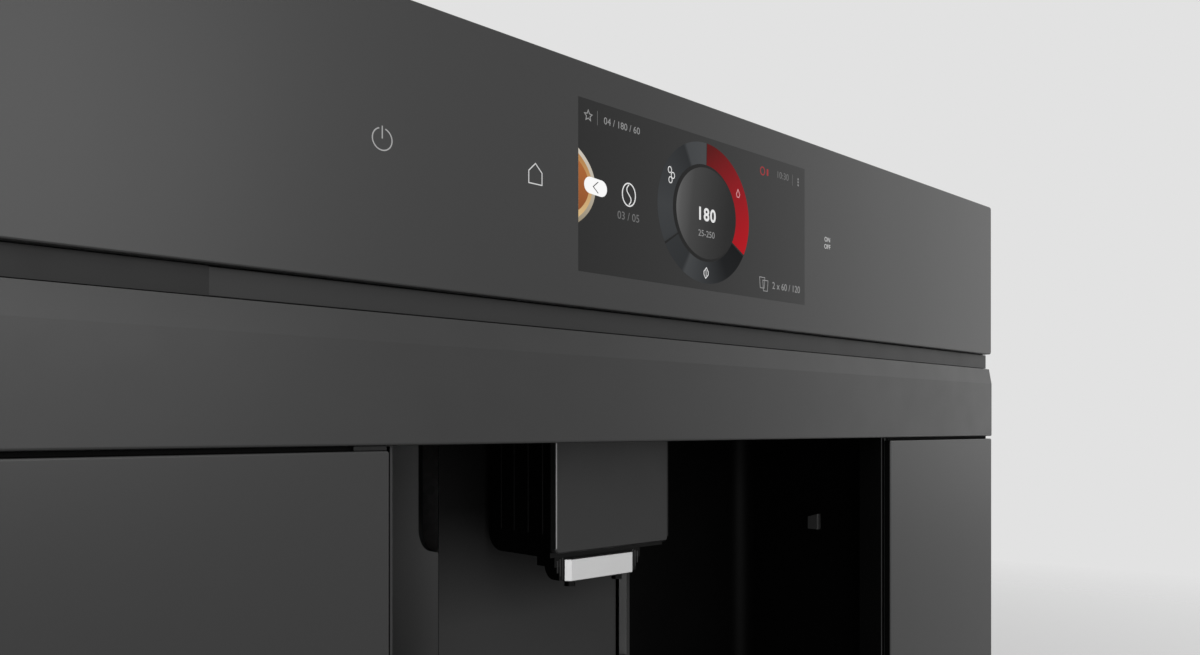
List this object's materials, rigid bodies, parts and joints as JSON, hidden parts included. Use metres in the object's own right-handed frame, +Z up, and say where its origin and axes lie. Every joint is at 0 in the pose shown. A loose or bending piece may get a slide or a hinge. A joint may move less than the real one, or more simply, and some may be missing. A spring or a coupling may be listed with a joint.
{
  "type": "built-in coffee machine",
  "caption": "Built-in coffee machine: dark glass front with a touch display, a swing door round a cup niche, a height-adjustable outlet, drip tray and the drawers behind the door.",
  "frame": {"origin": "centre of the machine's footprint, on the surface that its feet stand on", "axes": "+Z up, front faces -Y, +X to the right of someone standing in front of it"},
  "size_m": [0.594, 0.377, 0.455],
  "materials": {
    "panel_glass": "satin dark glass",
    "door_glass": "satin dark glass",
    "bar_paint": "fine satin lacquer",
    "strip_paint": "fine satin lacquer",
    "frame_paint": "fine texture",
    "column_paint": "satin lacquer",
    "cover_paint": "satin lacquer",
    "zinc_sheet": "galvanised",
    "hinge_steel": "zinc plated",
    "rod_steel": "polished",
    "trim_steel": "fine brushed",
    "motor_steel": "plated",
    "heater_aluminium": "cast",
    "valve_brass": "machined",
    "plastic_black": "fine grain",
    "door_plastic": "fine grain",
    "plastic_grey": "fine grain",
    "magnet_plastic": "fine grain",
    "clip_grey": "smooth",
    "grate_black": "satin",
    "display_black": "gloss",
    "niche_black": "semi gloss",
    "niche_gloss": "gloss",
    "outlet_gloss": "gloss",
    "tank_clear": "clear",
    "tank_clear_dark": "smooth",
    "hopper_smoke": "smoked",
    "piston_white": "smooth",
    "lever_red": "smooth",
    "float_red": "smooth",
    "pump_body": "smooth",
    "board_green": "solder mask",
    "hose_silicone": "silicone",
    "rubber_black": "matt"
  },
  "bodies": {
    "root": {"base_tray": "zinc_sheet", "feet": "rubber_black", "side_panels": "zinc_sheet", "top_cover": "zinc_sheet", "rear_panel": "zinc_sheet", "mains_inlet": "plastic_black", "front_frame": "frame_paint", "bay_shelves": "plastic_black", "control_panel_glass": "panel_glass", "control_panel_housing": "plastic_black", "display_module": "display_black", "groove_strip": "strip_paint", "niche_plates": "niche_black", "niche_liner_left": "niche_black", "niche_liner_right": "niche_gloss", "hose_clip": "clip_grey", "column_walls": "column_paint", "column_front_plate": "column_paint", "guide_rods": "rod_steel", "door_magnet": "magnet_plastic", "hinge_plates": "hinge_steel", "tank_dock": "plastic_black", "grinder_housing": "plastic_grey", "grinder_motor": "motor_steel", "switch_cradle": "plastic_black", "chassis_plate": "zinc_sheet", "water_pump": "pump_body", "heater": "heater_aluminium", "circuit_boards": "board_green", "outlet_valve": "valve_brass", "water_hoses": "hose_silicone"},
    "door": {"door_bar": "bar_paint", "door_panel_left": "door_glass", "door_panel_right": "door_glass", "door_frame": "door_plastic", "door_strike": "hinge_steel", "door_bumpers": "rubber_black", "hinge_pins": "rod_steel"},
    "outlet": {"outlet_carriage": "plastic_black", "outlet_housing": "outlet_gloss"},
    "outlet_cover": {"outlet_cover": "cover_paint"},
    "frother": {"frother_block": "outlet_gloss", "outlet_trim": "trim_steel"},
    "tray": {"drip_tray": "plastic_black", "drip_tray_front": "door_glass"},
    "grate": {"drip_grate": "grate_black"},
    "float": {"tray_float": "float_red"},
    "tank": {"water_tank": "tank_clear", "tank_lid": "tank_clear_dark"},
    "hopper": {"bean_hopper": "hopper_smoke", "hopper_lid": "plastic_black"},
    "brew_unit": {"brew_frame": "plastic_grey"},
    "brew_piston": {"brew_piston": "piston_white"},
    "brew_spindle": {"brew_spindle": "piston_white"},
    "brew_lever": {"brew_lever": "lever_red"},
    "grounds": {"grounds_container": "plastic_black"},
    "grinder_rotor": {"grinder_rotor": "rod_steel"},
    "switch_rocker": {"mains_switch": "plastic_black"},
    "grind_knob": {"grind_knob": "plastic_black"}
  },
  "joints": [
    {"name": "door_swing", "type": "hinge", "parent": "root", "child": "door", "pos_m": [-0.29, -0.1765, 0], "axis": [0, 0, -1], "range_deg": [0, 110]},
    {"name": "outlet_height", "type": "slide", "parent": "root", "child": "outlet", "axis": [0, 0, 1], "range_m": [-0.085, 0]},
    {"name": "outlet_cover_pull", "type": "slide", "parent": "outlet", "child": "outlet_cover", "axis": [0, -1, 0], "range_m": [0, 0.03]},
    {"name": "frother_pull", "type": "slide", "parent": "outlet", "child": "frother", "axis": [0, 0, -1], "range_m": [0, 0.02]},
    {"name": "tray_pull", "type": "slide", "parent": "root", "child": "tray", "axis": [0, -1, 0], "range_m": [0, 0.17]},
    {"name": "grate_lift", "type": "slide", "parent": "tray", "child": "grate", "axis": [0, 0, 1], "range_m": [0, 0.04]},
    {"name": "float_lift", "type": "slide", "parent": "tray", "child": "float", "axis": [0, 0, 1], "range_m": [0, 0.008]},
    {"name": "tank_pull", "type": "slide", "parent": "root", "child": "tank", "axis": [0, -1, 0], "range_m": [0, 0.0695]},
    {"name": "hopper_pull", "type": "slide", "parent": "root", "child": "hopper", "axis": [0, -1, 0], "range_m": [0, 0.135]},
    {"name": "brew_pull", "type": "slide", "parent": "root", "child": "brew_unit", "axis": [0, -1, 0], "range_m": [0, 0.087]},
    {"name": "grounds_pull", "type": "slide", "parent": "root", "child": "grounds", "axis": [0, -1, 0], "range_m": [0, 0.097]},
    {"name": "brew_lever_turn", "type": "hinge", "parent": "brew_unit", "child": "brew_lever", "pos_m": [0.219, -0.165, 0.1736], "axis": [0, 1, 0], "range_deg": [0, 75]},
    {"name": "brew_spindle_turn", "type": "hinge", "parent": "brew_unit", "child": "brew_spindle", "pos_m": [0.219, -0.108, 0.18], "axis": [0, 0, 1], "range_deg": [0, 1800]},
    {"name": "brew_piston_slide", "type": "slide", "parent": "brew_unit", "child": "brew_piston", "axis": [0, 0, 1], "range_m": [-0.0205, 0]},
    {"name": "grinder_spin", "type": "hinge", "parent": "root", "child": "grinder_rotor", "pos_m": [0.219, -0.028, 0.18], "axis": [0, 0, 1], "continuous": true},
    {"name": "mains_rocker", "type": "hinge", "parent": "root", "child": "switch_rocker", "pos_m": [-0.26685, -0.1615, 0.2], "axis": [1, 0, 0], "range_deg": [-6, 6]},
    {"name": "grind_knob_turn", "type": "hinge", "parent": "root", "child": "grind_knob", "pos_m": [0.26685, -0.166, 0.275], "axis": [0, 1, 0], "range_deg": [-60, 60]}
  ],
  "couplings": [
    {"joint": "tank_pull", "follows": "door_swing", "m_per_rad": 0.036},
    {"joint": "hopper_pull", "follows": "door_swing", "m_per_rad": 0.07},
    {"joint": "brew_pull", "follows": "door_swing", "m_per_rad": 0.045},
    {"joint": "grounds_pull", "follows": "door_swing", "m_per_rad": 0.05},
    {"joint": "brew_piston_slide", "follows": "brew_spindle_turn", "m_per_rad": -0.00063662}
  ]
}
